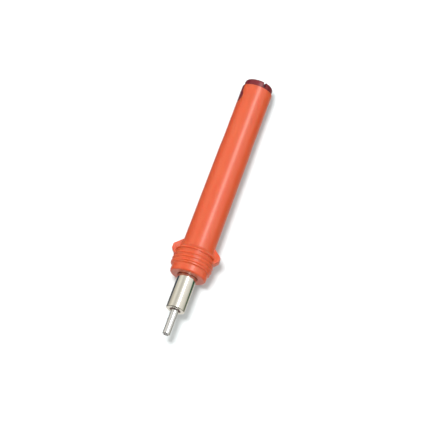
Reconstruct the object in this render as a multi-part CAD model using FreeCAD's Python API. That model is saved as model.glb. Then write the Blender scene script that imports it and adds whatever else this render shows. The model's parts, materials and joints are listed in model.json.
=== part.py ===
import FreeCAD, Part
import math
import os

# A technical pen's nib unit (drawing point) for a 1.0 mm line, lying on its side. Millimetres.
# The axis is X: the drawing tube's mouth points to -X and the end plug to +X. The origin is on the
# axis, in the plane of the collar's front face. +Z is up as the part lies, with the two lugs level
# except for a small turn about the axis: 2 degrees below +Y and 2 degrees above -Y.

# Stations along the axis, from the tip to the plug
TUBE_MOUTH_X = -8.90
SLEEVE_MOUTH_X = -5.14
LAND_REAR_X = 1.06
FLANGE_FRONT_X = 3.24
FLARE_REAR_X = 4.90
TAPER_FRONT_X = 19.50
REAR_LAND_X = 20.94
WINDOW_X = 27.30
RIM_X = 29.02
PLUG_END_X = 30.02

# Body, outside
LAND_R = 2.57
LAND_EDGE_R = 0.28
FLANGE_R = 2.83
FLANGE_EDGE = 0.12
UNDERCUT_R = 2.63
TUBE_FRONT_R = 2.26
TAPER_R = 2.18
REAR_LAND_R = 2.13
RIM_CHAMFER = 0.06

# Body, inside
RECESS_R = 1.45
RECESS_DEPTH = 0.12
SHOULDER_R = 0.95
SHOULDER_X = 2.65
CHAMBER_FRONT_X = 3.25
CHAMBER_R = 1.55
CHAMBER_CONE = 0.25
SEAT_R = 1.62
SEAT_X = 23.50

# Collar thread, right-hand
THREAD_PITCH = 0.566
THREAD_ROOT_R = 2.73
THREAD_CREST_R = 2.88
THREAD_START_X = 0.65
THREAD_FRONT_X = 1.12
THREAD_REAR_X = 3.00
THREAD_BASE_HALF = 0.20
THREAD_CREST_HALF = 0.06
THREAD_LEAD_IN = 0.16
THREAD_BITE = 0.08

# Lugs: the outline of one, as distances along the axis and out from it
LUG_WIDTH = 1.50
LUG_TILT = 2.0
LUG_OUTLINE = [(4.95, 2.10), (4.95, 2.27), (3.93, 3.39), (3.29, 3.41), (2.69, 2.89), (2.69, 2.10)]
LUG_EDGE_R = 0.10

# End plug: a slotted head, a skirt in the seat and two tongues with round heads in keyhole windows
PLUG_HEAD_R = 1.97
PLUG_HEAD_EDGE_R = 0.38
PLUG_HOLE_R = 0.70
SKIRT_BORE_R = 0.95
SCREW_SLOT_WIDTH = 0.40
SCREW_SLOT_DEPTH = 0.80
SCREW_SLOT_ANGLE = -28.5
TONGUE_ANGLE = 70.5
TONGUE_WIDTH = 1.04
TONGUE_HEAD_R = 0.86
TONGUE_FRONT_R = 2.11
TONGUE_GAP = 0.03

# Metal tip
SLEEVE_R = 1.34
SLEEVE_SHANK_R = 1.10
SLEEVE_BORE_R = 0.95
SLEEVE_EDGE_R = 0.16
SLEEVE_LIP_X = -4.67
SLEEVE_MOUTH_R = 0.72
SLEEVE_MOUTH_CHAMFER = 0.09
BUSH_NOSE_X = -5.10
BUSH_REAR_X = 1.20
TUBE_R = 0.541
TUBE_BORE_R = 0.32
TUBE_EDGE_R = 0.17
TUBE_BORE_CHAMFER = 0.03
TUBE_REAR_X = 1.50
TUBE_THIN_REAR_X = -5.05
TUBE_LIP_R = 0.61
TUBE_SHANK_R = 0.73
TUBE_SHANK_X = -4.47

# Drop weight, wire holder and cleaning wire, at rest with the weight forward
WIRE_R = 0.20
WIRE_TIP_X = -8.94
WIRE_TIP_EDGE_R = 0.10
WIRE_REAR_X = 5.05
HOLDER_R = 0.45
HOLDER_FRONT_X = 2.35
HOLDER_REAR_X = 5.25
HOLDER_CHAMFER = 0.15
WEIGHT_NOSE_X = 3.30
WEIGHT_LENGTH = 15.10
WEIGHT_R = 1.40
WEIGHT_NOSE_R = 0.90
WEIGHT_NOSE_CONE = 0.40
WEIGHT_WAIST_R = 1.20
WEIGHT_COLLAR = 2.80
WEIGHT_TAPER = 0.25
WEIGHT_CHAMFER = 0.12
FLUTE_COUNT = 3
FLUTE_R = 0.36
FLUTE_CENTRE_R = 1.46

ORIGIN = FreeCAD.Vector(0, 0, 0)
ALONG = FreeCAD.Vector(1, 0, 0)
SIDEWAYS = FreeCAD.Vector(0, 1, 0)
UP = FreeCAD.Vector(0, 0, 1)
MARGIN = 1.0


def point(x, r):
    """A point of a turned profile, in the XZ half-plane."""
    return FreeCAD.Vector(x, 0, r)


def corner_arc(start, end, centre, radius):
    """The quarter arc from start to end round a centre, for a rounded edge of a profile."""
    chord_middle = (start + end) * 0.5
    outward = (chord_middle - centre).normalize()
    return Part.Arc(start, centre + outward * radius, end).toShape()


def turned(edges_and_points):
    """A solid of revolution about X. The list holds (x, r) pairs, and edges such as arcs between them."""
    edges = []
    last = None
    first = None
    for item in edges_and_points:
        is_edge = isinstance(item, Part.Shape)
        start = item.Vertexes[0].Point if is_edge else point(*item)
        end = item.Vertexes[-1].Point if is_edge else start
        if last is not None and (start - last).Length > 1e-7:
            edges.append(Part.LineSegment(last, start).toShape())
        if is_edge:
            edges.append(item)
        first = start if first is None else first
        last = end
    edges.append(Part.LineSegment(last, first).toShape())
    face = Part.Face(Part.Wire(edges))
    return face.revolve(ORIGIN, ALONG, 360)


def rod(radius, x_from, x_to):
    return Part.makeCylinder(radius, x_to - x_from, FreeCAD.Vector(x_from, 0, 0), ALONG)


def turned_to(shape, angle):
    """A shape that points up, turned about the axis towards +Y by an angle in degrees."""
    copy = shape.copy()
    copy.rotate(ORIGIN, ALONG, -angle)
    return copy


def body_outside():
    """The body as a solid: front land, thread root, flange, flare and the drafted rear tube."""
    edge_centre = point(LAND_EDGE_R, LAND_R - LAND_EDGE_R)
    front_edge = corner_arc(
        point(0, LAND_R - LAND_EDGE_R), point(LAND_EDGE_R, LAND_R), edge_centre, LAND_EDGE_R
    )
    flare_start = point(FLANGE_FRONT_X + FLANGE_EDGE, FLANGE_R)
    flare_end = point(FLARE_REAR_X, TUBE_FRONT_R)
    flare_middle = point(FLANGE_FRONT_X + 0.62, FLANGE_R - 0.36)
    flare = Part.Arc(flare_start, flare_middle, flare_end).toShape()
    return turned(
        [
            (0, 0),
            front_edge,
            (LAND_REAR_X, LAND_R),
            (THREAD_FRONT_X, THREAD_ROOT_R),
            (THREAD_REAR_X, THREAD_ROOT_R),
            (THREAD_REAR_X + 0.08, UNDERCUT_R),
            (FLANGE_FRONT_X - 0.04, UNDERCUT_R),
            (FLANGE_FRONT_X, FLANGE_R),
            flare,
            (TAPER_FRONT_X, TAPER_R),
            (REAR_LAND_X, REAR_LAND_R),
            (RIM_X - RIM_CHAMFER, REAR_LAND_R),
            (RIM_X, REAR_LAND_R - RIM_CHAMFER),
            (RIM_X, 0),
        ]
    )


def collar_thread():
    """The right-hand ridge, swept along a helix and trimmed by an envelope with sloping ends."""
    turns = math.ceil((THREAD_REAR_X - THREAD_START_X) / THREAD_PITCH) + 1
    helix = Part.makeHelix(THREAD_PITCH, turns * THREAD_PITCH, THREAD_ROOT_R)
    inner = THREAD_ROOT_R - THREAD_BITE
    section = Part.makePolygon(
        [
            FreeCAD.Vector(inner, 0, -THREAD_BASE_HALF),
            FreeCAD.Vector(THREAD_CREST_R, 0, -THREAD_CREST_HALF),
            FreeCAD.Vector(THREAD_CREST_R, 0, THREAD_CREST_HALF),
            FreeCAD.Vector(inner, 0, THREAD_BASE_HALF),
            FreeCAD.Vector(inner, 0, -THREAD_BASE_HALF),
        ]
    )
    ridge = Part.Wire(helix).makePipeShell([section], True, True)
    ridge.rotate(ORIGIN, SIDEWAYS, 90)
    ridge.translate(ALONG * THREAD_START_X)
    envelope = turned(
        [
            (THREAD_FRONT_X, 0),
            (THREAD_FRONT_X, THREAD_ROOT_R - 0.01),
            (THREAD_FRONT_X + THREAD_LEAD_IN, THREAD_CREST_R + 0.01),
            (THREAD_REAR_X - THREAD_LEAD_IN, THREAD_CREST_R + 0.01),
            (THREAD_REAR_X, THREAD_ROOT_R - 0.01),
            (THREAD_REAR_X, 0),
        ]
    )
    return ridge.common(envelope)


def lug(side):
    """One lug of the collar, on the +Y or the -Y side, with its outer edges rounded."""
    corners = [FreeCAD.Vector(x, side * y, -LUG_WIDTH / 2) for x, y in LUG_OUTLINE]
    face = Part.Face(Part.makePolygon(corners + corners[:1]))
    block = face.extrude(UP * LUG_WIDTH)
    outer = [e for e in block.Edges if min(abs(v.Point.y) for v in e.Vertexes) > FLANGE_R]
    return turned_to(block.makeFillet(LUG_EDGE_R, outer), LUG_TILT)


def keyhole(gap, outside):
    """The part of a round solid within both keyholes: a straight stem and a round head, grown by a gap."""
    stem_width = TONGUE_WIDTH + 2 * gap
    reach = REAR_LAND_R + 2 * MARGIN
    stem = Part.makeBox(
        RIM_X - WINDOW_X, stem_width, 2 * reach, FreeCAD.Vector(WINDOW_X, -stem_width / 2, -reach)
    )
    head = Part.makeCylinder(TONGUE_HEAD_R + gap, 2 * reach, FreeCAD.Vector(WINDOW_X, 0, -reach), UP)
    outline = turned_to(stem.fuse(head), TONGUE_ANGLE)
    inside = rod(SEAT_R - TONGUE_GAP, WINDOW_X - MARGIN, RIM_X)
    return outside.cut(inside).common(outline)


def nib_body():
    solid = body_outside().fuse([collar_thread(), lug(1), lug(-1)])
    hollow = turned(
        [
            (-MARGIN, 0),
            (-MARGIN, RECESS_R),
            (RECESS_DEPTH, RECESS_R),
            (RECESS_DEPTH, SLEEVE_SHANK_R),
            (SHOULDER_X, SLEEVE_SHANK_R),
            (SHOULDER_X, SHOULDER_R),
            (CHAMBER_FRONT_X, SHOULDER_R),
            (CHAMBER_FRONT_X + CHAMBER_CONE, CHAMBER_R),
            (SEAT_X, CHAMBER_R),
            (SEAT_X, SEAT_R),
            (RIM_X + MARGIN, SEAT_R),
            (RIM_X + MARGIN, 0),
        ]
    )
    windows = keyhole(TONGUE_GAP, rod(REAR_LAND_R + MARGIN, WINDOW_X - MARGIN, RIM_X))
    return solid.cut([hollow, windows])


def end_plug():
    edge_centre = point(PLUG_END_X - PLUG_HEAD_EDGE_R, PLUG_HEAD_R - PLUG_HEAD_EDGE_R)
    head_edge = corner_arc(
        point(PLUG_END_X - PLUG_HEAD_EDGE_R, PLUG_HEAD_R),
        point(PLUG_END_X, PLUG_HEAD_R - PLUG_HEAD_EDGE_R),
        edge_centre,
        PLUG_HEAD_EDGE_R,
    )
    plug = turned(
        [
            (SEAT_X, SKIRT_BORE_R),
            (SEAT_X, SEAT_R),
            (RIM_X, SEAT_R),
            (RIM_X, PLUG_HEAD_R),
            head_edge,
            (PLUG_END_X, PLUG_HOLE_R),
            (RIM_X, PLUG_HOLE_R),
            (RIM_X, SKIRT_BORE_R),
        ]
    )
    drafted = turned(
        [(WINDOW_X - MARGIN, 0), (WINDOW_X - MARGIN, TONGUE_FRONT_R), (RIM_X, REAR_LAND_R), (RIM_X, 0)]
    )
    plug = plug.fuse(keyhole(0, drafted))
    slot = Part.makeBox(
        SCREW_SLOT_DEPTH + MARGIN,
        SCREW_SLOT_WIDTH,
        2 * (PLUG_HEAD_R + MARGIN),
        FreeCAD.Vector(PLUG_END_X - SCREW_SLOT_DEPTH, -SCREW_SLOT_WIDTH / 2, -PLUG_HEAD_R - MARGIN),
    )
    return plug.cut(turned_to(slot, SCREW_SLOT_ANGLE)).removeSplitter()


def tip_sleeve():
    edge_centre = point(SLEEVE_MOUTH_X + SLEEVE_EDGE_R, SLEEVE_R - SLEEVE_EDGE_R)
    outer_edge = corner_arc(
        point(SLEEVE_MOUTH_X, SLEEVE_R - SLEEVE_EDGE_R),
        point(SLEEVE_MOUTH_X + SLEEVE_EDGE_R, SLEEVE_R),
        edge_centre,
        SLEEVE_EDGE_R,
    )
    return turned(
        [
            (SLEEVE_MOUTH_X + SLEEVE_MOUTH_CHAMFER, SLEEVE_MOUTH_R),
            (SLEEVE_MOUTH_X, SLEEVE_MOUTH_R + SLEEVE_MOUTH_CHAMFER),
            outer_edge,
            (RECESS_DEPTH, SLEEVE_R),
            (RECESS_DEPTH, SLEEVE_SHANK_R),
            (SHOULDER_X, SLEEVE_SHANK_R),
            (SHOULDER_X, SLEEVE_BORE_R),
            (SLEEVE_LIP_X, SLEEVE_BORE_R),
            (SLEEVE_LIP_X, SLEEVE_MOUTH_R),
        ]
    )


def tube_bush():
    """The bush round the drawing tube's thicker rear. Its nose fills the sleeve's mouth."""
    return turned(
        [
            (BUSH_NOSE_X, TUBE_R),
            (BUSH_NOSE_X, SLEEVE_MOUTH_R),
            (SLEEVE_LIP_X, SLEEVE_MOUTH_R),
            (SLEEVE_LIP_X, SLEEVE_BORE_R),
            (BUSH_REAR_X, SLEEVE_BORE_R),
            (BUSH_REAR_X, TUBE_SHANK_R),
            (TUBE_SHANK_X, TUBE_SHANK_R),
            (SLEEVE_LIP_X, TUBE_LIP_R),
            (TUBE_THIN_REAR_X, TUBE_R),
        ]
    )


def drawing_tube():
    edge_centre = point(TUBE_MOUTH_X + TUBE_EDGE_R, TUBE_R - TUBE_EDGE_R)
    outer_edge = corner_arc(
        point(TUBE_MOUTH_X, TUBE_R - TUBE_EDGE_R),
        point(TUBE_MOUTH_X + TUBE_EDGE_R, TUBE_R),
        edge_centre,
        TUBE_EDGE_R,
    )
    return turned(
        [
            (TUBE_MOUTH_X + TUBE_BORE_CHAMFER, TUBE_BORE_R),
            (TUBE_MOUTH_X, TUBE_BORE_R + TUBE_BORE_CHAMFER),
            outer_edge,
            (TUBE_THIN_REAR_X, TUBE_R),
            (SLEEVE_LIP_X, TUBE_LIP_R),
            (TUBE_SHANK_X, TUBE_SHANK_R),
            (TUBE_REAR_X, TUBE_SHANK_R),
            (TUBE_REAR_X, TUBE_BORE_R),
        ]
    )


def cleaning_wire():
    edge_centre = point(WIRE_TIP_X + WIRE_TIP_EDGE_R, WIRE_R - WIRE_TIP_EDGE_R)
    tip_edge = corner_arc(
        point(WIRE_TIP_X, WIRE_R - WIRE_TIP_EDGE_R),
        point(WIRE_TIP_X + WIRE_TIP_EDGE_R, WIRE_R),
        edge_centre,
        WIRE_TIP_EDGE_R,
    )
    return turned([(WIRE_TIP_X, 0), tip_edge, (WIRE_REAR_X, WIRE_R), (WIRE_REAR_X, 0)])


def wire_holder():
    """A crimped ferrule, blind at its rear, with the wire's end in it."""
    return turned(
        [
            (HOLDER_FRONT_X, WIRE_R),
            (HOLDER_FRONT_X, HOLDER_R - HOLDER_CHAMFER),
            (HOLDER_FRONT_X + HOLDER_CHAMFER, HOLDER_R),
            (HOLDER_REAR_X, HOLDER_R),
            (HOLDER_REAR_X, 0),
            (WIRE_REAR_X, 0),
            (WIRE_REAR_X, WIRE_R),
        ]
    )


def drop_weight():
    """A turned weight with two guide collars, a waist, and flutes that let the ink past."""
    rear_x = WEIGHT_NOSE_X + WEIGHT_LENGTH
    front_collar_x = WEIGHT_NOSE_X + WEIGHT_NOSE_CONE + WEIGHT_COLLAR
    rear_collar_x = rear_x - WEIGHT_COLLAR
    weight = turned(
        [
            (WEIGHT_NOSE_X, HOLDER_R),
            (WEIGHT_NOSE_X, WEIGHT_NOSE_R),
            (WEIGHT_NOSE_X + WEIGHT_NOSE_CONE, WEIGHT_R),
            (front_collar_x, WEIGHT_R),
            (front_collar_x + WEIGHT_TAPER, WEIGHT_WAIST_R),
            (rear_collar_x - WEIGHT_TAPER, WEIGHT_WAIST_R),
            (rear_collar_x, WEIGHT_R),
            (rear_x - WEIGHT_CHAMFER, WEIGHT_R),
            (rear_x, WEIGHT_R - WEIGHT_CHAMFER),
            (rear_x, 0),
            (HOLDER_REAR_X, 0),
            (HOLDER_REAR_X, HOLDER_R),
        ]
    )
    for i in range(FLUTE_COUNT):
        flute = rod(FLUTE_R, WEIGHT_NOSE_X - MARGIN, rear_x + MARGIN)
        flute.translate(UP * FLUTE_CENTRE_R)
        weight = weight.cut(turned_to(flute, 360 * i / FLUTE_COUNT))
    return weight.removeSplitter()


NODES = {
    "nib_body": nib_body,
    "end_plug": end_plug,
    "tip_sleeve": tip_sleeve,
    "tube_bush": tube_bush,
    "drawing_tube": drawing_tube,
    "cleaning_wire": cleaning_wire,
    "wire_holder": wire_holder,
    "drop_weight": drop_weight,
}

os.makedirs("parts", exist_ok=True)
for name, make in NODES.items():
    shape = make()
    if shape.ShapeType == "Compound" and len(shape.Solids) == 1:
        shape = shape.Solids[0]
    box = shape.BoundBox
    print(f"{name}: {shape.ShapeType}, valid {shape.isValid()}, {shape.Volume:.3f} mm3, "
          f"x {box.XMin:.2f} to {box.XMax:.2f}, r to {max(box.YMax, box.ZMax):.2f}")
    shape.exportStep(f"parts/{name}.step")
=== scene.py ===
import json
import math

import bmesh
import bpy
import numpy as np
from mathutils import Matrix, Vector


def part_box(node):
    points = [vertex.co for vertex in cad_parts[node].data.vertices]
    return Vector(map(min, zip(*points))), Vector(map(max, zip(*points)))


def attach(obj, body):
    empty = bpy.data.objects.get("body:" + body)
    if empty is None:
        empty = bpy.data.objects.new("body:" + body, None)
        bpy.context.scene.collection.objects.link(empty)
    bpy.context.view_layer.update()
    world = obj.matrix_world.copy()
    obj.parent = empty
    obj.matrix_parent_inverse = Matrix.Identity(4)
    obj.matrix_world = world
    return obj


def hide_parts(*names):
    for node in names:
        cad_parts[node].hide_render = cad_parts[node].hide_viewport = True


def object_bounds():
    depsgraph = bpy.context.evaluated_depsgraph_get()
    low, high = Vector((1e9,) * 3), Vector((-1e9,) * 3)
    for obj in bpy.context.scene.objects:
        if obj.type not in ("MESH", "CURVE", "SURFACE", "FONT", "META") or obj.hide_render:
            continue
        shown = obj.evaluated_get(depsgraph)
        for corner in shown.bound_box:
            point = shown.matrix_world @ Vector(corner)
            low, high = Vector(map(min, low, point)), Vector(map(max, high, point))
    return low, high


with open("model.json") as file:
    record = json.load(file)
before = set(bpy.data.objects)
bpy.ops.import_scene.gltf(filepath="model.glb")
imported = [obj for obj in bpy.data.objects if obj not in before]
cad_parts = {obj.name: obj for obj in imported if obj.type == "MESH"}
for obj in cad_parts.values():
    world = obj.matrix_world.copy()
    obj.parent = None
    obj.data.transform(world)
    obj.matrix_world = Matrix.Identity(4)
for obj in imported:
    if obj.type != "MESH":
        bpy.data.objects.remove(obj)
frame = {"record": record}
CAD_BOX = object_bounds()

# The looks of a technical pen's nib unit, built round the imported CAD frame. Lengths in this script
# are millimetres until a mesh is made. The axis is X, and an angle round it starts at +Z and grows
# towards +Y.

MM = 0.001
MOUNTS = {m["name"]: m for m in frame["record"]["mounts"]}


def span(node):
    """Where a CAD node starts and ends along the axis, and how far it reaches up from it."""
    low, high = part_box(node)
    return low[0] / MM, high[0] / MM, high[2] / MM


def mount_radius(name):
    return MOUNTS[name]["dims"]["r_mm"]


# Driving dimensions that the frame gives
_, RIM, THREAD_CREST_R = span("nib_body")
SEAT, PLUG_END, _ = span("end_plug")
SLEEVE_MOUTH, SHOULDER, SLEEVE_R = span("tip_sleeve")
BUSH_FRONT, BUSH_REAR, SLEEVE_BORE_R = span("tube_bush")
TUBE_MOUTH, TUBE_REAR, _ = span("drawing_tube")
WIRE_TIP, WIRE_REAR, WIRE_R = span("cleaning_wire")
HOLDER_FRONT, HOLDER_REAR, HOLDER_R = span("wire_holder")
WEIGHT_NOSE, WEIGHT_REAR, _ = span("drop_weight")
LAND_R = mount_radius("collar_land")
REAR_LAND_R = mount_radius("rear_land")
TUBE_R = mount_radius("drawing_tube_outside")

# Body
TAPER_R = 2.18
TUBE_FRONT_R = 2.26
TAPER_FRONT_X = 19.5
REAR_LAND_X = 20.94
WITNESS_X = 18.0
WITNESS_DEPTH = 0.012
WITNESS_HALF = 0.07
PARTING_HEIGHT = 0.008
PARTING_HALF = 0.05
FLARE_X = 4.9
FLANGE_X = 3.24
FLANGE_R = 2.83
UNDERCUT_R = 2.63
LAND_REAR = 1.06
RECESS_R = 1.45
RECESS_DEPTH = 0.12
SHOULDER_R = 0.95
CHAMBER_X = 3.25
CHAMBER_R = 1.55
SEAT_R = 1.62

# Thread and lugs
THREAD_PITCH = 0.566
THREAD_ROOT_R = 2.73
THREAD_FRONT = 1.12
THREAD_REAR = 3.0
THREAD_START = 0.65
THREAD_BASE_HALF = 0.22
THREAD_CREST_HALF = 0.05
THREAD_LEAD_IN = 0.16
LUG_FRONT = 2.69
LUG_FRONT_R = 2.89
LUG_REAR = 4.95
LUG_CORNER_FRONT = 3.29
LUG_CORNER_REAR = 3.93
LUG_TOP = 3.41
LUG_FOOT_R = 1.5
LUG_TILT = math.radians(2)
LUG_HALF_WIDTH = 0.75
LUG_WALL = 0.13
LUG_CROWN = 0.10

# Plug and its keyhole windows
PLUG_HEAD_R = 1.97
PLUG_HOLE_R = 0.7
SKIRT_BORE_R = 0.95
SLOT_WIDTH = 0.4
SLOT_DEPTH = 0.8
SLOT_ANGLE = -28.5
TONGUE_ANGLE = 70.5
TONGUE_WIDTH = 1.04
TONGUE_HEAD_R = 0.86
TONGUE_R = 2.115
TONGUE_GAP = 0.03
WINDOW_X = 27.3
WINDOW_OVERRUN = 0.5

# Metal tip and weight
SLEEVE_MOUTH_R = 0.72
SLEEVE_LIP = -4.67
SLEEVE_SHANK_R = 1.1
TUBE_THIN_REAR = -5.05
TUBE_LIP_R = 0.61
TUBE_SHANK_R = 0.73
TUBE_SHANK_X = -4.47
TUBE_BORE_R = 0.32
CRIMP_CONE = 0.15
CRIMP_DEPTH = 0.05
WEIGHT_R = 1.4
WEIGHT_WAIST_R = 1.2
WEIGHT_COLLAR = 2.8
WEIGHT_NOSE_R = 0.9
WEIGHT_CONE = 0.4
FLUTE_COUNT = 3
FLUTE_R = 0.36
FLUTE_CENTRE_R = 1.46

# Gap left between pieces that are pressed into each other
PRESS_GAP = 0.002

# Mesh density
ARC_STEP = math.radians(15)
ROUND_STEPS = 128
ROW_STEP = 0.6
BODY_ROW = 0.35
BORE_ROW = 1.5
FINE_ROW = 0.03


# ---------------------------------------------------------------- outlines and turned surfaces


def rounded(corners, closed=True):
    """An outline with its corners rounded. A corner is (x, r) or (x, r, radius of the rounding)."""
    outline = []
    count = len(corners)
    for i, corner in enumerate(corners):
        here = Vector(corner[:2])
        radius = corner[2] if len(corner) > 2 else 0
        if not radius or (not closed and i in (0, count - 1)):
            outline.append(here)
            continue
        back = (Vector(corners[i - 1][:2]) - here).normalized()
        ahead = (Vector(corners[(i + 1) % count][:2]) - here).normalized()
        half = back.angle(ahead) / 2
        centre = here + (back + ahead).normalized() * (radius / math.sin(half))
        start = here + back * (radius / math.tan(half)) - centre
        turn = start.angle_signed(here + ahead * (radius / math.tan(half)) - centre)
        steps = max(2, math.ceil(abs(turn) / ARC_STEP))
        for k in range(steps + 1):
            angle = -turn * k / steps
            outline.append(
                centre
                + Vector(
                    (
                        start.x * math.cos(angle) - start.y * math.sin(angle),
                        start.x * math.sin(angle) + start.y * math.cos(angle),
                    )
                )
            )
    return outline


def filled_in(outline, step, closed=True):
    """The outline with points added, so that no run along it is longer than the step allows there."""
    points = []
    count = len(outline)
    for i in range(count if closed else count - 1):
        here = outline[i]
        there = outline[(i + 1) % count]
        longest = step((here.x + there.x) / 2, (here.y + there.y) / 2)
        pieces = max(1, math.ceil((there - here).length / longest))
        points += [here.lerp(there, k / pieces) for k in range(pieces)]
    if not closed:
        points.append(outline[-1])
    return np.array([(p.x, p.y) for p in points])


def even_rows(x, r):
    return ROW_STEP


def steps_round(count):
    """Evenly spaced angles, once round the axis."""
    return np.linspace(0, 2 * math.pi, count, endpoint=False)


def turned(name, corners, closed=True, angles=None, step=even_rows, shape=None):
    """A piece turned about the axis. An open outline starts and ends on the axis.
    shape(x, r, angle) may move the radius of each point, which gives threads, lugs and flutes."""
    rows = filled_in(rounded(corners, closed), step, closed)
    angles = steps_round(ROUND_STEPS) if angles is None else angles
    xs = np.repeat(rows[:, :1], len(angles), axis=1)
    rs = np.repeat(rows[:, 1:], len(angles), axis=1)
    turns = np.repeat(angles[None, :], len(rows), axis=0)
    if shape is not None:
        rs = shape(xs, rs, turns)
    bm = bmesh.new()
    grid = []
    for row in range(len(rows)):
        if not closed and row in (0, len(rows) - 1):
            grid.append([bm.verts.new((rows[row, 0] * MM, 0, 0))] * len(angles))
            continue
        ring = zip(xs[row], rs[row] * np.sin(turns[row]), rs[row] * np.cos(turns[row]))
        grid.append([bm.verts.new((x * MM, y * MM, z * MM)) for x, y, z in ring])
    for row in range(len(rows) if closed else len(rows) - 1):
        lower = grid[row]
        upper = grid[(row + 1) % len(rows)]
        for k in range(len(angles)):
            following = (k + 1) % len(angles)
            ring = [lower[k], lower[following], upper[following], upper[k]]
            # On the axis two corners are one vertex, and the face is a triangle
            bm.faces.new(dict.fromkeys(ring))
    return piece_from(name, bm)


def piece_from(name, bm):
    bmesh.ops.recalc_face_normals(bm, faces=bm.faces)
    mesh = bpy.data.meshes.new(name)
    bm.to_mesh(mesh)
    bm.free()
    piece = bpy.data.objects.new(name, mesh)
    bpy.context.scene.collection.objects.link(piece)
    return piece


def applied(piece):
    """Replaces the piece's mesh with what its modifiers make of it."""
    graph = bpy.context.evaluated_depsgraph_get()
    mesh = bpy.data.meshes.new_from_object(piece.evaluated_get(graph))
    piece.modifiers.clear()
    piece.data = mesh
    return piece


def combined(piece, other, operation):
    """The piece after a boolean with another one, which is used up."""
    boolean = piece.modifiers.new(operation, "BOOLEAN")
    boolean.operation = operation
    boolean.solver = "EXACT"
    boolean.object = other
    applied(piece)
    bpy.data.objects.remove(other)
    return piece


def softened(piece, width):
    """Rounds every sharp edge a little."""
    bevel = piece.modifiers.new("edges", "BEVEL")
    bevel.width = width * MM
    bevel.segments = 2
    bevel.limit_method = "ANGLE"
    bevel.angle_limit = math.radians(35)
    bevel.use_clamp_overlap = True
    return applied(piece)


def smoothed(piece):
    """Smooth shading that stays true on flats beside small rounded edges."""
    piece.data.shade_smooth()
    normals = piece.modifiers.new("normals", "WEIGHTED_NORMAL")
    normals.mode = "FACE_AREA"
    normals.keep_sharp = True
    return applied(piece)


def placed(piece, body, slot, material, *nodes):
    """Gives the piece its material and its body, and hides the CAD nodes that it stands for."""
    piece.data.materials.clear()
    piece.data.materials.append(material)
    smoothed(piece)
    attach(piece, body)
    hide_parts(*nodes)
    return piece


def smoothstep(value):
    value = np.clip(value, 0, 1)
    return value * value * (3 - 2 * value)


# ---------------------------------------------------------------- materials


class Nodes:
    """A short way to build a material's node tree."""

    def __init__(self, name):
        self.material = bpy.data.materials.new(name)
        self.material.use_nodes = True
        self.tree = self.material.node_tree
        self.shader = self.tree.nodes["Principled BSDF"]
        self.coordinates = self.tree.nodes.new("ShaderNodeTexCoord").outputs["Object"]

    def link(self, output, node, socket):
        self.tree.links.new(output, node.inputs[socket])

    def scaled(self, x, y, z):
        """The object's own coordinates, times a scale per metre on each axis."""
        mapping = self.tree.nodes.new("ShaderNodeMapping")
        mapping.inputs["Scale"].default_value = (x, y, z)
        self.link(self.coordinates, mapping, "Vector")
        return mapping.outputs["Vector"]

    def noise(self, vector, detail=3.0, roughness=0.5):
        noise = self.tree.nodes.new("ShaderNodeTexNoise")
        noise.inputs["Scale"].default_value = 1.0
        noise.inputs["Detail"].default_value = detail
        noise.inputs["Roughness"].default_value = roughness
        self.link(vector, noise, "Vector")
        return noise.outputs["Fac"]

    def ranged(self, value, low, high, from_low=0.3, from_high=0.7):
        ranged = self.tree.nodes.new("ShaderNodeMapRange")
        ranged.inputs["From Min"].default_value = from_low
        ranged.inputs["From Max"].default_value = from_high
        ranged.inputs["To Min"].default_value = low
        ranged.inputs["To Max"].default_value = high
        self.link(value, ranged, "Value")
        return ranged.outputs["Result"]

    def mixed(self, factor, first, second):
        mix = self.tree.nodes.new("ShaderNodeMix")
        mix.data_type = "RGBA"
        self.link(factor, mix, "Factor")
        for socket, colour in ((6, first), (7, second)):
            if isinstance(colour, tuple):
                mix.inputs[socket].default_value = (*colour, 1)
            else:
                self.tree.links.new(colour, mix.inputs[socket])
        return mix.outputs[2]

    def bump(self, height, distance, normal=None):
        bump = self.tree.nodes.new("ShaderNodeBump")
        bump.inputs["Distance"].default_value = distance * MM
        bump.inputs["Strength"].default_value = 1.0
        self.link(height, bump, "Height")
        if normal is not None:
            self.link(normal, bump, "Normal")
        return bump.outputs["Normal"]

    def set(self, **values):
        for name, value in values.items():
            self.shader.inputs[name.replace("_", " ")].default_value = value


def moulded(name, colour, deep, roughness, subsurface, haze=0.5):
    """Moulded plastic: a slightly uneven colour, a soft orange-peel surface and fine scuffs.
    haze is the strength of the shine, and subsurface is how much light goes into the plastic."""
    n = Nodes(name)
    clouds = n.noise(n.scaled(220, 700, 700), detail=4)
    flow = n.noise(n.scaled(90, 2600, 2600), detail=2)
    body = n.mixed(n.ranged(clouds, 0, 1), deep, colour)
    body = n.mixed(n.ranged(flow, 0, 0.22, 0.45, 0.75), body, deep)
    n.link(body, n.shader, "Base Color")
    scuffs = n.noise(n.scaled(1500, 9000, 9000), detail=5, roughness=0.65)
    n.link(n.ranged(scuffs, roughness - 0.05, roughness + 0.07), n.shader, "Roughness")
    peel = n.noise(n.scaled(2600, 3400, 3400), detail=2)
    grain = n.noise(n.scaled(16000, 16000, 16000), detail=2)
    normal = n.bump(peel, 0.004)
    n.link(n.bump(grain, 0.0008, normal=normal), n.shader, "Normal")
    n.set(
        IOR=1.5,
        Specular_IOR_Level=haze,
        Subsurface_Weight=subsurface,
        Subsurface_Radius=(1.0, 0.25, 0.12),
        Subsurface_Scale=0.8 * MM,
    )
    return n.material


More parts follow.
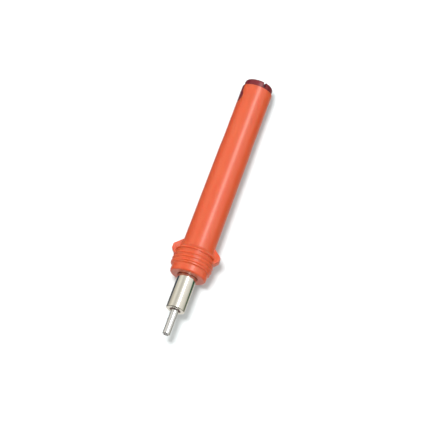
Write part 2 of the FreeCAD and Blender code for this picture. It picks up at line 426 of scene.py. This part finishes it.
def metal(name, colour, tint, roughness, lines, depth):
    """Bright metal with fine tool lines. lines is their noise scale per metre on each axis,
    and depth is how deep they are."""
    n = Nodes(name)
    marks = n.noise(n.scaled(*lines), detail=3, roughness=0.6)
    stain = n.noise(n.scaled(500, 900, 900), detail=3)
    n.link(n.mixed(n.ranged(stain, 0, 1), colour, tint), n.shader, "Base Color")
    n.link(n.ranged(marks, roughness * 0.8, roughness * 1.35), n.shader, "Roughness")
    n.link(n.bump(marks, depth), n.shader, "Normal")
    n.set(Metallic=1.0)
    return n.material


ORANGE = moulded(
    "orange_plastic",
    colour=(0.450, 0.070, 0.020),
    deep=(0.435, 0.059, 0.014),
    roughness=0.32,
    subsurface=0.65,
    haze=0.75,
)
DARK_RED = moulded(
    "dark_red_plastic",
    colour=(0.125, 0.006, 0.012),
    deep=(0.09, 0.004, 0.008),
    roughness=0.34,
    subsurface=0.08,
)
BROWN = moulded(
    "brown_plastic",
    colour=(0.16, 0.04, 0.03),
    deep=(0.10, 0.025, 0.018),
    roughness=0.5,
    subsurface=0.05,
)
NICKEL = metal(
    "nickel_plate",
    colour=(0.80, 0.775, 0.70),
    tint=(0.76, 0.725, 0.64),
    roughness=0.075,
    lines=(9000, 250, 250),
    depth=0.0004,
)
STEEL = metal(
    "polished_steel",
    colour=(0.80, 0.80, 0.80),
    tint=(0.76, 0.76, 0.765),
    roughness=0.22,
    lines=(300, 9000, 9000),
    depth=0.0001,
)
WIRE_STEEL = metal(
    "wire_steel",
    colour=(0.62, 0.62, 0.64),
    tint=(0.55, 0.55, 0.57),
    roughness=0.2,
    lines=(300, 20000, 20000),
    depth=0.0006,
)
BRASS = metal(
    "crimp_brass",
    colour=(0.62, 0.43, 0.16),
    tint=(0.5, 0.33, 0.12),
    roughness=0.22,
    lines=(12000, 300, 300),
    depth=0.001,
)
TURNED_STEEL = metal(
    "turned_steel",
    colour=(0.52, 0.52, 0.54),
    tint=(0.44, 0.43, 0.43),
    roughness=0.24,
    lines=(9000, 200, 200),
    depth=0.002,
)


# ---------------------------------------------------------------- body


def lug_height(x):
    """How far a lug stands out from the axis at x, rounded at its two upper corners."""
    corners = [
        (LUG_REAR + 0.3, TUBE_FRONT_R - 0.35),
        (LUG_REAR, TUBE_FRONT_R - 0.02),
        (LUG_CORNER_REAR, LUG_TOP - 0.02, 0.07),
        (LUG_CORNER_FRONT, LUG_TOP, 0.16),
        (LUG_FRONT, LUG_FRONT_R),
        (LUG_FRONT - 0.06, LUG_FOOT_R),
    ]
    outline = rounded(corners, closed=False)
    places = np.array([p.x for p in outline])[::-1]
    heights = np.array([p.y for p in outline])[::-1]
    return np.interp(x, places, heights, left=0, right=0)


def thread_height(x, angle):
    """The ridge of a right-hand thread above its root, with both ends running out."""
    crest = THREAD_START + THREAD_PITCH * (math.pi - angle) / (2 * math.pi)
    turns = (x - crest) / THREAD_PITCH
    away = np.abs(turns - np.round(turns)) * THREAD_PITCH
    flank = (THREAD_BASE_HALF - away) / (THREAD_BASE_HALF - THREAD_CREST_HALF)
    front_end = smoothstep((x - THREAD_FRONT) / THREAD_LEAD_IN)
    rear_end = smoothstep((THREAD_REAR - x) / THREAD_LEAD_IN)
    return (THREAD_CREST_R - THREAD_ROOT_R) * smoothstep(flank) * (front_end * rear_end)


def body_shape(x, r, angle):
    """Adds what isn't turned to the body: thread, lugs, witness ring and mould parting lines."""
    outside = r > SEAT_R + 0.05
    threaded = outside & (x > THREAD_FRONT) & (x < THREAD_REAR) & (r > THREAD_ROOT_R - 0.02)
    r = np.where(threaded, r + thread_height(x, angle), r)
    witness = np.exp(-(((x - WITNESS_X) / WITNESS_HALF) ** 2)) * WITNESS_DEPTH
    r = np.where(outside, r - witness, r)
    for side in (math.pi / 2, 3 * math.pi / 2):
        aside = np.abs(angle - side) * r
        tube = outside & (x > FLARE_X)
        r = np.where(tube, r + PARTING_HEIGHT * smoothstep(1 - aside / PARTING_HALF), r)
        turn = angle - side - LUG_TILT
        top = lug_height(x) / np.cos(np.clip(turn, -1, 1))
        height = np.abs(np.sin(turn)) * top / LUG_HALF_WIDTH
        top = top - LUG_CROWN * height**4
        wall = smoothstep((1 - height) * LUG_HALF_WIDTH / LUG_WALL)
        near = (np.abs(turn) < 1) & outside & (top > r)
        r = np.where(near, r + (top - r) * wall, r)
    return r


def body_angles():
    """Steps round the body, closer together at the walls of the lugs."""
    angles = list(np.arange(0, 360, 2.0))
    for side in (90 + math.degrees(LUG_TILT), 270 + math.degrees(LUG_TILT)):
        for wall in (-15, 15):
            angles += list(side + wall + np.arange(-5.5, 5.6, 0.4))
        angles += list(side + np.arange(-1.5, 1.6, 0.5))
    return np.radians(np.unique(np.round(angles, 3)))


def body_rows(x, r):
    """Row spacing: fine along the thread, the lugs, the flare and the witness ring."""
    if r < SEAT_R + 0.05:
        return BORE_ROW
    if THREAD_FRONT - 0.05 < x < LUG_REAR + 0.1:
        return FINE_ROW
    if abs(x - WITNESS_X) < 3 * WITNESS_HALF:
        return FINE_ROW
    return BODY_ROW


def keyhole(name, gap, inner_r, outer_r):
    """Both tongues as ring segments: a straight stem from the rim, and a round head.
    With a gap they are the cutter for the windows, and run on past the rim."""
    width = TONGUE_WIDTH / 2 + gap
    head = TONGUE_HEAD_R + gap
    overrun = WINDOW_OVERRUN if gap else 0
    opening = math.asin(width / head)
    turn = 2 * (math.pi - opening)
    steps = 40
    outline = [(RIM + overrun, -width)]
    for k in range(steps + 1):
        angle = -opening - turn * k / steps
        outline.append((WINDOW_X + head * math.cos(angle), head * math.sin(angle)))
    outline.append((RIM + overrun, width))
    prism = prism_through(name, outline, outer_r + 1, TONGUE_ANGLE)
    front = WINDOW_X - 1.5
    rear = RIM + 2 * overrun
    corners = [(front, inner_r), (front, outer_r), (rear, outer_r), (rear, inner_r)]
    ring = turned(name + "_ring", corners, angles=steps_round(256))
    return combined(ring, prism, "INTERSECT")


def prism_through(name, outline, reach, angle):
    """A prism right through the axis, towards the angle. Its outline is (along the axis, across)."""
    turn = math.radians(angle)
    across = Vector((0, math.cos(turn), -math.sin(turn)))
    out = Vector((0, math.sin(turn), math.cos(turn)))
    bm = bmesh.new()
    ends = []
    for height in (-reach, reach):
        places = [Vector((x, 0, 0)) + across * y + out * height for x, y in outline]
        ends.append([bm.verts.new(p * MM) for p in places])
    bm.faces.new(ends[0])
    bm.faces.new(ends[1][::-1])
    for k in range(len(outline)):
        following = (k + 1) % len(outline)
        bm.faces.new((ends[0][following], ends[0][k], ends[1][k], ends[1][following]))
    return piece_from(name, bm)


def make_body():
    corners = [
        (0, RECESS_R, 0.03),
        (0, LAND_R, 0.28),
        (LAND_REAR, LAND_R),
        (THREAD_FRONT, THREAD_ROOT_R),
        (THREAD_REAR, THREAD_ROOT_R),
        (THREAD_REAR + 0.08, UNDERCUT_R, 0.02),
        (FLANGE_X - 0.03, UNDERCUT_R, 0.02),
        (FLANGE_X, FLANGE_R, 0.03),
        (FLANGE_X + 0.12, FLANGE_R, 0.04),
        (FLANGE_X + 0.55, TUBE_FRONT_R + 0.14, 0.5),
        (FLARE_X + 0.2, TUBE_FRONT_R),
        (TAPER_FRONT_X, TAPER_R, 2),
        (REAR_LAND_X, REAR_LAND_R, 2),
        (RIM, REAR_LAND_R, 0.06),
        (RIM, SEAT_R, 0.03),
        (SEAT, SEAT_R),
        (SEAT, CHAMBER_R),
        (CHAMBER_X + 0.25, CHAMBER_R),
        (CHAMBER_X, SHOULDER_R),
        (SHOULDER, SHOULDER_R),
        (SHOULDER, SLEEVE_SHANK_R + PRESS_GAP),
        (RECESS_DEPTH, SLEEVE_SHANK_R + PRESS_GAP),
        (RECESS_DEPTH, RECESS_R),
    ]
    body = turned("nib_body_moulding", corners, angles=body_angles(), step=body_rows, shape=body_shape)
    windows = keyhole("windows", TONGUE_GAP, SEAT_R - 0.02, REAR_LAND_R + 1)
    combined(body, windows, "DIFFERENCE")
    return placed(body, "nib", "orange_moulding", ORANGE, "nib_body")


def make_plug():
    corners = [
        (SEAT, SKIRT_BORE_R, 0.05),
        (SEAT, SEAT_R - 0.01, 0.08),
        (RIM + 0.005, SEAT_R - 0.01),
        (RIM + 0.005, PLUG_HEAD_R, 0.02),
        (PLUG_END, PLUG_HEAD_R, 0.38),
        (PLUG_END, PLUG_HOLE_R, 0.06),
        (RIM, PLUG_HOLE_R),
        (RIM, SKIRT_BORE_R),
    ]
    plug = turned("end_plug_moulding", corners)
    combined(plug, keyhole("tongues", 0, SEAT_R - 0.1, TONGUE_R), "UNION")
    side = SLOT_WIDTH / 2
    outline = [
        (PLUG_END - SLOT_DEPTH, -side),
        (PLUG_END + 1, -side),
        (PLUG_END + 1, side),
        (PLUG_END - SLOT_DEPTH, side),
    ]
    combined(plug, prism_through("slot", outline, PLUG_HEAD_R + 1, SLOT_ANGLE), "DIFFERENCE")
    softened(plug, 0.025)
    return placed(plug, "nib", "red_moulding", DARK_RED, "end_plug")


# ---------------------------------------------------------------- metal tip


def make_sleeve():
    corners = [
        (SLEEVE_MOUTH + 0.14, SLEEVE_MOUTH_R, 0.02),
        (SLEEVE_MOUTH, SLEEVE_MOUTH_R + 0.09, 0.03),
        (SLEEVE_MOUTH, SLEEVE_R, 0.16),
        (RECESS_DEPTH - PRESS_GAP, SLEEVE_R, 0.03),
        (RECESS_DEPTH - PRESS_GAP, SLEEVE_SHANK_R),
        (SHOULDER, SLEEVE_SHANK_R, 0.05),
        (SHOULDER, SLEEVE_BORE_R),
        (SLEEVE_LIP, SLEEVE_BORE_R),
        (SLEEVE_LIP, SLEEVE_MOUTH_R),
    ]
    sleeve = turned("tip_sleeve_plated", corners)
    return placed(sleeve, "nib", "nickel_plate", NICKEL, "tip_sleeve")


def make_bush():
    nose_r = SLEEVE_MOUTH_R - 2 * PRESS_GAP
    outer_r = SLEEVE_BORE_R - 2 * PRESS_GAP
    corners = [
        (BUSH_FRONT, TUBE_R + PRESS_GAP),
        (BUSH_FRONT, nose_r, 0.02),
        (SLEEVE_LIP, nose_r),
        (SLEEVE_LIP, outer_r),
        (BUSH_REAR, outer_r, 0.04),
        (BUSH_REAR, TUBE_SHANK_R + PRESS_GAP, 0.04),
        (TUBE_SHANK_X, TUBE_SHANK_R + PRESS_GAP),
        (SLEEVE_LIP, TUBE_LIP_R + PRESS_GAP),
        (TUBE_THIN_REAR, TUBE_R + PRESS_GAP),
    ]
    bush = turned("tube_bush_moulding", corners)
    return placed(bush, "nib", "brown_moulding", BROWN, "tube_bush")


def make_tube():
    corners = [
        (TUBE_MOUTH, TUBE_BORE_R, 0.035),
        (TUBE_MOUTH, TUBE_R, 0.17),
        (TUBE_THIN_REAR, TUBE_R, 0.1),
        (SLEEVE_LIP, TUBE_LIP_R),
        (TUBE_SHANK_X, TUBE_SHANK_R, 0.1),
        (TUBE_REAR, TUBE_SHANK_R, 0.03),
        (TUBE_REAR, TUBE_BORE_R),
    ]
    tube = turned("drawing_tube_polished", corners)
    return placed(tube, "nib", "polished_steel", STEEL, "drawing_tube")


def make_wire():
    corners = [(WIRE_TIP, 0), (WIRE_TIP, WIRE_R, 0.1), (WIRE_REAR, WIRE_R), (WIRE_REAR, 0)]
    wire = turned("cleaning_wire_drawn", corners, closed=False, angles=steps_round(48))
    return placed(wire, "weight", "wire_steel", WIRE_STEEL, "cleaning_wire")


# ---------------------------------------------------------------- weight


def make_holder():
    corners = [
        (HOLDER_FRONT, WIRE_R + PRESS_GAP, 0.02),
        (HOLDER_FRONT, HOLDER_R - CRIMP_CONE, 0.02),
        (HOLDER_FRONT + CRIMP_CONE, HOLDER_R, 0.05),
        (HOLDER_FRONT + 0.4, HOLDER_R, 0.02),
        (HOLDER_FRONT + 0.45, HOLDER_R - CRIMP_DEPTH, 0.02),
        (HOLDER_FRONT + 0.6, HOLDER_R - CRIMP_DEPTH, 0.02),
        (HOLDER_FRONT + 0.65, HOLDER_R, 0.02),
        (HOLDER_REAR, HOLDER_R),
        (HOLDER_REAR, WIRE_R + PRESS_GAP),
    ]
    holder = turned("wire_holder_crimped", corners)
    return placed(holder, "weight", "crimp_brass", BRASS, "wire_holder")


def fluted(x, r, angle):
    """Cuts the ink flutes: the surface stays outside each flute's round section."""
    for i in range(FLUTE_COUNT):
        aside = np.abs((angle - 2 * math.pi * i / FLUTE_COUNT + math.pi) % (2 * math.pi) - math.pi)
        reach = FLUTE_R**2 - (FLUTE_CENTRE_R * np.sin(aside)) ** 2
        floor = FLUTE_CENTRE_R * np.cos(aside) - np.sqrt(np.maximum(reach, 0))
        inside = (aside < 1) & (reach > 0) & (r > floor)
        r = np.where(inside, floor, r)
    return r


def make_weight():
    front = WEIGHT_NOSE + WEIGHT_CONE + WEIGHT_COLLAR
    rear = WEIGHT_REAR - WEIGHT_COLLAR
    corners = [
        (WEIGHT_NOSE, HOLDER_R, 0.04),
        (WEIGHT_NOSE, WEIGHT_NOSE_R, 0.05),
        (WEIGHT_NOSE + WEIGHT_CONE, WEIGHT_R, 0.08),
        (front, WEIGHT_R, 0.06),
        (front + 0.25, WEIGHT_WAIST_R, 0.1),
        (rear - 0.25, WEIGHT_WAIST_R, 0.1),
        (rear, WEIGHT_R, 0.06),
        (WEIGHT_REAR, WEIGHT_R, 0.12),
        (WEIGHT_REAR, HOLDER_R),
    ]
    weight = turned("drop_weight_turned", corners, angles=steps_round(288), shape=fluted)
    return placed(weight, "weight", "weight_steel", TURNED_STEEL, "drop_weight")


# ---------------------------------------------------------------- floor, light and camera

# The tent's brightness round the axis: degrees from straight up, growing towards +Y
TENT = [
    (-180, (0.85, 0.83, 0.80)),
    (-158, (0.80, 0.77, 0.72)),
    (-142, (0.30, 0.30, 0.26)),
    (-124, (0.20, 0.21, 0.17)),
    (-112, (0.26, 0.27, 0.22)),
    (-100, (0.60, 0.59, 0.53)),
    (-82, (0.80, 0.79, 0.74)),
    (-55, (0.94, 0.93, 0.90)),
    (-38, (1.10, 1.10, 1.08)),
    (-26, (1.35, 1.35, 1.34)),
    (-6, (1.35, 1.35, 1.34)),
    (6, (0.90, 0.89, 0.86)),
    (18, (0.66, 0.65, 0.61)),
    (32, (0.70, 0.69, 0.64)),
    (48, (0.92, 0.90, 0.84)),
    (64, (0.90, 0.87, 0.79)),
    (78, (0.70, 0.67, 0.60)),
    (94, (0.56, 0.53, 0.47)),
    (107, (0.24, 0.24, 0.24)),
    (126, (0.17, 0.18, 0.20)),
    (142, (0.28, 0.28, 0.28)),
    (158, (0.80, 0.77, 0.72)),
    (180, (0.85, 0.83, 0.80)),
]

# The tent's two ends: where along X the change starts and is complete, and the colour
TENT_ENDS = [
    (0.75, 1.0, (0.72, 0.70, 0.66)),
    (-0.75, -1.0, (0.72, 0.70, 0.66)),
]

# Painted dark reflections: glowing dark cards that only the reflections show, standing in for dark
# surroundings: one on each side of the object, and one in front of its tip
SIDE_FLAG_Y = 14.0
SIDE_FLAG_OUTLINE = [(-1.0, -9.0), (40.0, -9.0), (40.0, 3.5), (6.5, 3.5)]
FRONT_FLAG_X = -40.0
FRONT_FLAG_OUTLINE = [(-45.0, -3.0), (45.0, -3.0), (45.0, 75.0), (-45.0, 75.0)]

# Lights: name, azimuth, elevation, size in metres, power in watts, and whether only reflections show it
LIGHT_DISTANCE = 0.5
LIGHTS = [
    ("overhead", -160, 80, (0.15, 0.15), 2.95, False),
    ("right_fill", 10, 5, (0.3, 0.1), 0.5, False),
    ("left_fill", 190, 5, (0.3, 0.1), 0.2, False),
    ("strip", 35, 68, (0.5, 0.10), 1.0, True),
]

FLOOR_REACH = 600.0
FLOOR_GAP = 0.01

CAMERA_AZIMUTH = -70.77
CAMERA_ELEVATION = 68.24
CAMERA_DISTANCE = 0.93
CAMERA_LENS = 579.0
CAMERA_SENSOR = 36.0
AIM_OFFSET = (0.20, 0.33)


def direction(azimuth, elevation):
    """The unit vector from the object towards a viewer. Azimuth 0 looks along +Y."""
    a = math.radians(azimuth)
    e = math.radians(elevation)
    return Vector((math.sin(a) * math.cos(e), -math.cos(a) * math.cos(e), math.sin(e)))


def middle():
    low, high = CAD_BOX
    return (Vector(low) + Vector(high)) / 2


def make_floor():
    """A pale sheet that the collar's thread and the tube's rim both touch."""
    front_x = THREAD_FRONT + THREAD_LEAD_IN
    drop = THREAD_CREST_R - REAR_LAND_R
    slope = drop / (RIM - front_x)
    mesh = bpy.data.meshes.new("floor")
    corners = []
    for x, y in ((-1, -1), (1, -1), (1, 1), (-1, 1)):
        height = -THREAD_CREST_R + (x * FLOOR_REACH - front_x) * slope - FLOOR_GAP
        corners.append((x * FLOOR_REACH * MM, y * FLOOR_REACH * MM, height * MM))
    mesh.from_pydata(corners, [], [(0, 1, 2, 3)])
    floor = bpy.data.objects.new("floor", mesh)
    bpy.context.scene.collection.objects.link(floor)
    n = Nodes("pale_sheet")
    grain = n.noise(n.scaled(900, 900, 900), detail=3)
    n.link(n.mixed(grain, (0.585, 0.615, 0.625), (0.605, 0.635, 0.645)), n.shader, "Base Color")
    n.set(Roughness=0.9, Specular_IOR_Level=0.1)
    mesh.materials.append(n.material)
    floor.visible_glossy = False


def make_world():
    """A light tent that changes round the axis: bright above, dark low on both sides, pale below."""
    world = bpy.data.worlds.new("tent")
    world.use_nodes = True
    tree = world.node_tree
    background = tree.nodes["Background"]
    coordinates = tree.nodes.new("ShaderNodeTexCoord")
    split = tree.nodes.new("ShaderNodeSeparateXYZ")
    tree.links.new(coordinates.outputs["Generated"], split.inputs[0])
    around = tree.nodes.new("ShaderNodeMath")
    around.operation = "ARCTAN2"
    tree.links.new(split.outputs["Y"], around.inputs[0])
    tree.links.new(split.outputs["Z"], around.inputs[1])
    turn = tree.nodes.new("ShaderNodeMapRange")
    turn.inputs["From Min"].default_value = -math.pi
    turn.inputs["From Max"].default_value = math.pi
    tree.links.new(around.outputs[0], turn.inputs["Value"])
    ramp = tree.nodes.new("ShaderNodeValToRGB")
    tree.links.new(turn.outputs["Result"], ramp.inputs["Fac"])
    stops = ramp.color_ramp.elements
    while len(stops) < len(TENT):
        stops.new(0.5)
    for stop, (angle, colour) in zip(stops, TENT):
        stop.position = (angle + 180) / 360
        stop.color = (*colour, 1)
    colour = ramp.outputs["Color"]
    for start, complete, end_colour in TENT_ENDS:
        end = tree.nodes.new("ShaderNodeMapRange")
        end.inputs["From Min"].default_value = start
        end.inputs["From Max"].default_value = complete
        tree.links.new(split.outputs["X"], end.inputs["Value"])
        mix = tree.nodes.new("ShaderNodeMix")
        mix.data_type = "RGBA"
        tree.links.new(end.outputs["Result"], mix.inputs["Factor"])
        tree.links.new(colour, mix.inputs[6])
        mix.inputs[7].default_value = (*end_colour, 1)
        colour = mix.outputs[2]
    tree.links.new(colour, background.inputs["Color"])
    bpy.context.scene.world = world


def make_reflection_card(name, corners, colour):
    """A glowing dark card that only shows in reflections: a painted dark reflection, not a lamp and not
    a real card.
    """
    mesh = bpy.data.meshes.new(name)
    mesh.from_pydata([Vector(corner) * MM for corner in corners], [], [range(len(corners))])
    material = bpy.data.materials.new(name)
    material.use_nodes = True
    shader = material.node_tree.nodes["Principled BSDF"]
    shader.inputs["Base Color"].default_value = (0, 0, 0, 1)
    shader.inputs["Specular IOR Level"].default_value = 0
    # The card glows with this dark colour, which paints a dark reflection into the metal and the
    # plastic
    shader.inputs["Emission Color"].default_value = (*colour, 1)
    shader.inputs["Emission Strength"].default_value = 1
    mesh.materials.append(material)
    flag = bpy.data.objects.new(name, mesh)
    bpy.context.scene.collection.objects.link(flag)
    flag.visible_camera = False
    flag.visible_diffuse = False
    flag.visible_transmission = False
    flag.visible_shadow = False


def make_light(name, azimuth, elevation, size, power, reflected):
    """A rectangular light whose longer side runs along the axis."""
    light = bpy.data.lights.new(name, "AREA")
    light.shape = "RECTANGLE"
    light.size = size[0]
    light.size_y = size[1]
    light.energy = power
    lamp = bpy.data.objects.new(name, light)
    bpy.context.scene.collection.objects.link(lamp)
    out = direction(azimuth, elevation)
    lamp.location = middle() + out * LIGHT_DISTANCE
    lengthwise = Vector((1, 0, 0)) - out * out.x
    across = out.cross(lengthwise)
    turn = Matrix((lengthwise.normalized(), across.normalized(), out)).transposed()
    lamp.rotation_euler = turn.to_euler()
    lamp.visible_glossy = reflected
    lamp.visible_diffuse = not reflected


def make_camera():
    camera = bpy.data.cameras.new("camera")
    camera.lens = CAMERA_LENS
    camera.sensor_width = CAMERA_SENSOR
    camera.clip_start = 0.01
    camera.clip_end = 10
    view = bpy.data.objects.new("camera", camera)
    bpy.context.scene.collection.objects.link(view)
    out = direction(CAMERA_AZIMUTH, CAMERA_ELEVATION)
    right = Vector((0, 0, 1)).cross(out).normalized()
    up = out.cross(right)
    aim = middle() - right * AIM_OFFSET[0] * MM - up * AIM_OFFSET[1] * MM
    view.location = aim + out * CAMERA_DISTANCE
    view.rotation_euler = out.to_track_quat("Z", "Y").to_euler()
    bpy.context.scene.camera = view


make_body()
make_plug()
make_sleeve()
make_bush()
make_tube()
make_wire()
make_holder()
make_weight()
make_floor()
make_world()
# Painted reflections: the side cards paint faint blue and green dark bands into the edges of the metal
# and the plastic, and the front card paints near-black into the rounded rims
make_reflection_card("left_reflection_card", [(x, SIDE_FLAG_Y, z) for x, z in SIDE_FLAG_OUTLINE], (0.035, 0.06, 0.10))
make_reflection_card("right_reflection_card", [(x, -SIDE_FLAG_Y, z) for x, z in SIDE_FLAG_OUTLINE], (0.03, 0.10, 0.06))
make_reflection_card("front_reflection_card", [(FRONT_FLAG_X, y, z) for y, z in FRONT_FLAG_OUTLINE], (0.01, 0.01, 0.01))
for light in LIGHTS:
    make_light(*light)
make_camera()

scene = bpy.context.scene
scene.view_settings.view_transform = "Standard"
scene.cycles.use_denoising = True
